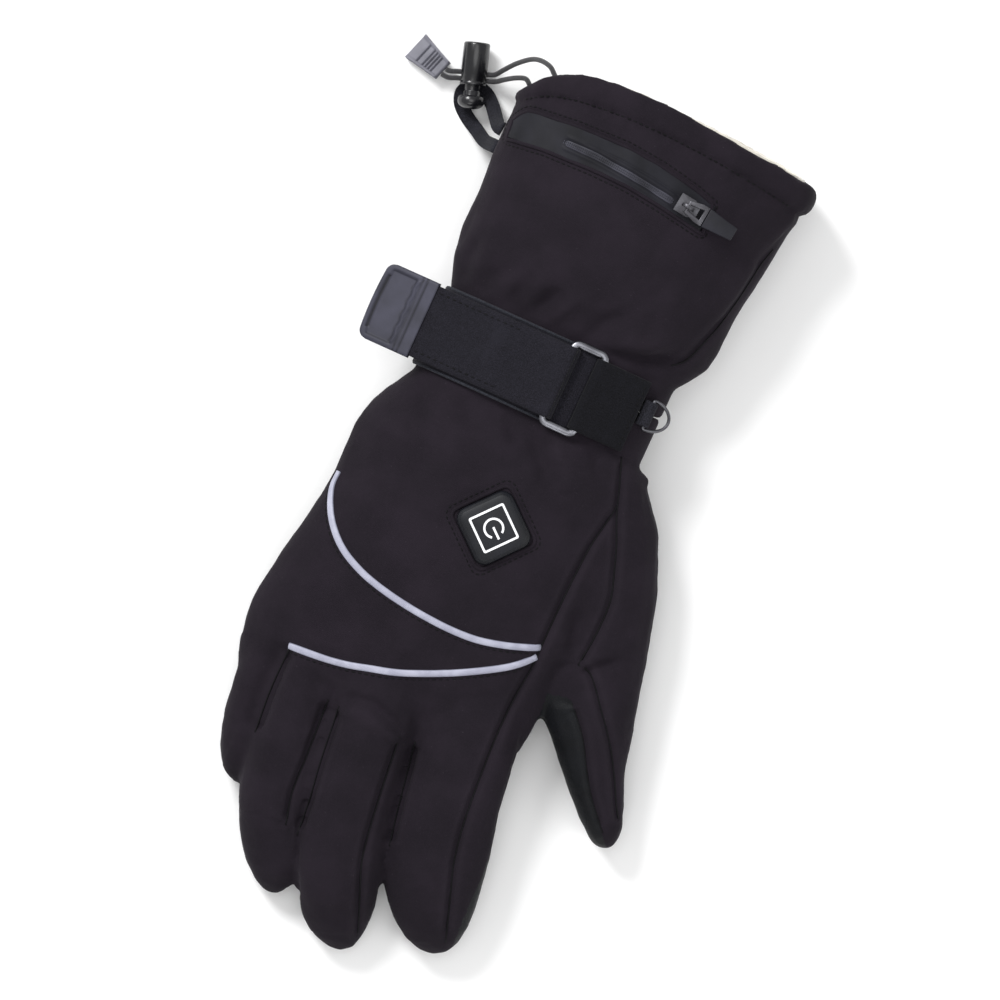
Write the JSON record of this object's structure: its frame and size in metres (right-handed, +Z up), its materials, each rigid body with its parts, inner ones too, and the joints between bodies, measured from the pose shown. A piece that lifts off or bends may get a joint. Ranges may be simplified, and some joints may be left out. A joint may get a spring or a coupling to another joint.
{
  "type": "heated glove",
  "caption": "Padded winter glove for the right hand with a long gauntlet cuff, wrist strap through a buckle, zip pocket, locked drawcord and a heating switch on its back.",
  "frame": {"origin": "middle of the glove's footprint, at the surface that it lies on, measured without its cords", "axes": "+X towards the thumb, +Y from the fingertips to the cuff's rim, +Z up out of the back of the hand"},
  "size_m": [0.1847, 0.3566, 0.0624],
  "materials": {
    "softshell": "matt woven shell fabric, nearly black with a warm cast",
    "palm_leather": "smooth synthetic leather",
    "lining_fleece": "short light pile",
    "reflective_piping": "light grey reflective tape",
    "zip_rubber": "satin coated panel",
    "coil_plastic": "moulded coil",
    "zip_metal": "dark nickel",
    "webbing": "woven tape",
    "tab_rubber": "satin moulded rubber",
    "nickel": "satin nickel",
    "switch_silicone": "satin silicone",
    "white_print": "printed white",
    "gloss_plastic": "gloss",
    "elastic_cord": "braided elastic"
  },
  "bodies": {
    "glove": {"hand_back": "softshell", "palm_panel": "palm_leather", "cuff": "softshell", "hem_band": "softshell", "cuff_lining": "lining_fleece", "piping_upper": "reflective_piping", "piping_lower": "reflective_piping", "zip_panel": "zip_rubber", "zip_coil": "coil_plastic", "zip_slider": "zip_metal", "wrist_strap": "webbing", "strap_anchor": "webbing", "strap_tab": "tab_rubber", "strap_buckle": "nickel", "ring_loop": "webbing", "small_ring": "nickel", "switch_key": "switch_silicone", "switch_mark_square": "white_print", "switch_mark_ring": "white_print", "switch_mark_bar": "white_print", "drawcord_upper": "elastic_cord", "drawcord_lower": "elastic_cord", "lock_tape": "elastic_cord", "lock_barrel": "gloss_plastic", "cord_end": "tab_rubber"},
    "zip_pull": {"pull_frame": "zip_metal", "pull_tab": "zip_rubber"},
    "lock_plunger": {"lock_plunger": "gloss_plastic"}
  },
  "joints": [
    {"name": "zip_pull_hinge", "type": "hinge", "parent": "glove", "child": "zip_pull", "pos_m": [0.02417, 0.14123, 0.0603], "axis": [-0.1904, -0.9817, 0.0038], "range_deg": [0, 160]},
    {"name": "lock_plunger_slide", "type": "slide", "parent": "glove", "child": "lock_plunger", "axis": [-0.2351, 0.972, 0], "range_m": [0, 0.0032], "stiffness_N_per_m": 700, "springref_m": -0.004}
  ]
}
